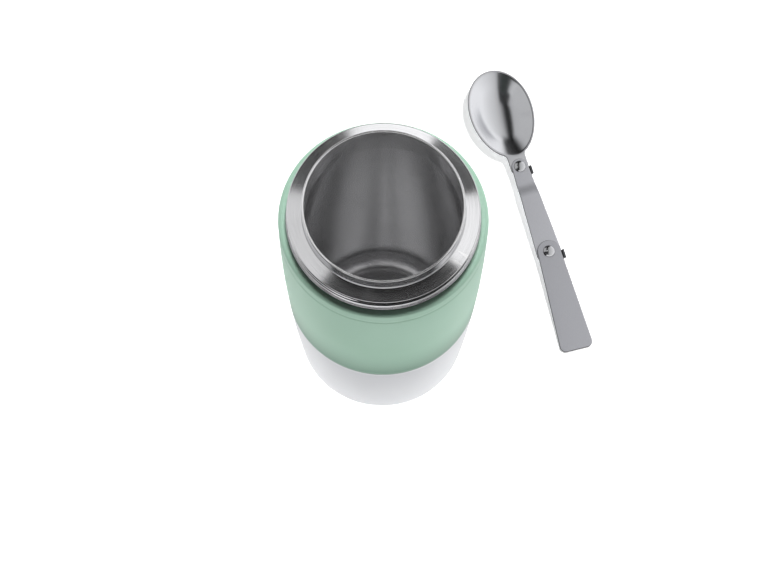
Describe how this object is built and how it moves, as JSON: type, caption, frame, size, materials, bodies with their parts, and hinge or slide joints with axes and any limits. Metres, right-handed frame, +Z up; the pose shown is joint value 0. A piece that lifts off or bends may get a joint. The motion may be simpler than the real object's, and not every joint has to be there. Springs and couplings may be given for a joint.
{
  "type": "insulated food jar",
  "caption": "Open double-wall insulated food jar with screw neck, lip and two-tone body, with a three-section folding spoon lying beside it.",
  "frame": {"origin": "centre of the face the jar stands on", "axes": "+Z up the jar's axis; the spoon lies towards +X and +Y; the open mouth faces +Z"},
  "size_m": [0.1545, 0.1904, 0.168],
  "materials": {
    "mint_coat": "satin powder coat",
    "white_cup": "smooth satin moulding",
    "neck_steel": "circular brushed and polished",
    "liner_steel": "electropolished",
    "foil": "bright copper foil",
    "shell_steel": "mill finish",
    "solder": "dull cast",
    "getter_metal": "sintered",
    "pad_silicone": "matte silicone",
    "spoon_steel": "satin brushed, polished bowl",
    "rivet_steel": "polished"
  },
  "bodies": {
    "jar": {"outer_shell": "mint_coat", "base_cup": "white_cup", "neck_ring": "neck_steel", "inner_liner": "liner_steel", "heat_foil": "foil", "vacuum_bottom": "shell_steel", "vacuum_seal": "solder", "getter": "getter_metal", "base_pad": "pad_silicone"},
    "link": {"spoon_link": "spoon_steel", "bowl_rivet": "rivet_steel", "grip_rivet": "rivet_steel"},
    "bowl": {"spoon_bowl": "spoon_steel"},
    "grip": {"spoon_grip": "spoon_steel"}
  },
  "joints": [
    {"name": "spoon_lift", "type": "slide", "parent": "jar", "child": "link", "axis": [0.5, 0, 0.866], "range_m": [0, 0.12]},
    {"name": "bowl_fold", "type": "hinge", "parent": "link", "child": "bowl", "pos_m": [0.07022, 0.08972, 0.00613], "axis": [0.0273, -0.0854, 0.996], "range_deg": [0, 180]},
    {"name": "grip_fold", "type": "hinge", "parent": "link", "child": "grip", "pos_m": [0.08508, 0.04316, 0.00479], "axis": [-0.0273, 0.0854, -0.996], "range_deg": [-2, 178]}
  ]
}
